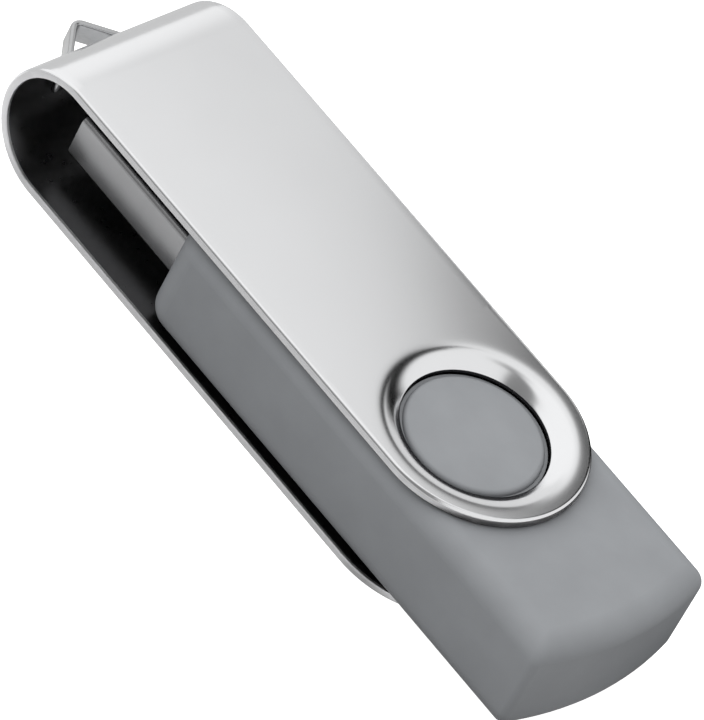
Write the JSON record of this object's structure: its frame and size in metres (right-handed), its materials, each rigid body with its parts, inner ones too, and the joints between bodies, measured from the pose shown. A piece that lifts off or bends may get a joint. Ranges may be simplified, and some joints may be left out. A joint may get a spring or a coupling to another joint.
{
  "type": "usb flash drive",
  "caption": "USB flash drive: grey plastic body with a type-A plug and a folded steel cover that swivels about a round boss to bare the plug, with a key loop on its fold.",
  "frame": {"origin": "middle of the underside of the closed drive: the lower cover arm rests on Z = 0, and X = 0 and Y = 0 are the middle of its length and width", "axes": "+X from the key loop to the free end of the body, +Y across the width, +Z from the underside to the top, along the pivot axis"},
  "size_m": [0.0706, 0.019, 0.0125],
  "materials": {
    "cover_steel": "satin-finished stainless sheet",
    "body_plastic": "matte moulded plastic, cool grey",
    "plug_steel": "nickel-plated steel, dull",
    "tongue_plastic": "black glass-filled plastic",
    "contact_gold": "gold-plated contact",
    "board_laminate": "green solder mask",
    "chip_epoxy": "moulded epoxy",
    "tinned_leads": "tinned leads",
    "ceramic": "brown ceramic"
  },
  "bodies": {
    "drive_body": {"upper_shell": "body_plastic", "lower_shell": "body_plastic", "plug_shell": "plug_steel", "plug_tongue": "tongue_plastic", "contact_vbus": "contact_gold", "contact_data_minus": "contact_gold", "contact_data_plus": "contact_gold", "contact_ground": "contact_gold", "circuit_board": "board_laminate", "flash_chip": "chip_epoxy", "flash_chip_leads": "tinned_leads", "controller_chip": "chip_epoxy", "controller_chip_leads": "tinned_leads", "crystal_base": "ceramic", "crystal_lid": "tinned_leads", "capacitor_bodies": "ceramic", "capacitor_ends": "tinned_leads", "resistor_bodies": "chip_epoxy", "resistor_ends": "tinned_leads", "regulator": "chip_epoxy", "regulator_leads": "tinned_leads"},
    "cover": {"swivel_cover": "cover_steel", "key_loop": "cover_steel"}
  },
  "joints": [
    {"name": "cover_swivel", "type": "hinge", "parent": "drive_body", "child": "cover", "pos_m": [0.01463, 0, 0.00625], "axis": [0, 0, 1], "continuous": true}
  ]
}
